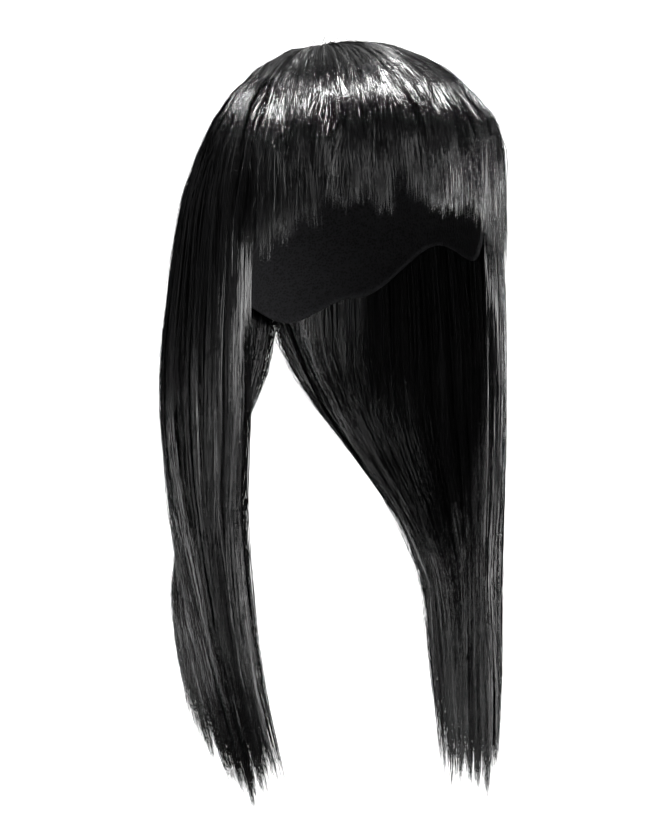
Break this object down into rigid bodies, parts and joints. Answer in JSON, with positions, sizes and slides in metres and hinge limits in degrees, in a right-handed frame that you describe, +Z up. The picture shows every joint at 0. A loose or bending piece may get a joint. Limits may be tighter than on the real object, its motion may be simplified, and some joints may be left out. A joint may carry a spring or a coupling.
{
  "type": "long wig",
  "caption": "Long straight wig with a choppy fringe: hair combed from a crown whorl over an open net cap, drawn forward at the nape into a long lock beside each cheek.",
  "frame": {"origin": "inside top of the cap, where the crown of the wearer's head bears", "axes": "+Z up, -Y the way the face looks, +X to the wearer's left"},
  "size_m": [0.2062, 0.2171, 0.4409],
  "materials": {
    "hair": "glossy straight synthetic fibre, near black",
    "cap_net": "matt stretch net, near black"
  },
  "bodies": {
    "root": {"cap": "cap_net", "fringe": "hair", "side_lock_left": "hair", "side_lock_right": "hair", "back_hair": "hair"}
  },
  "joints": []
}
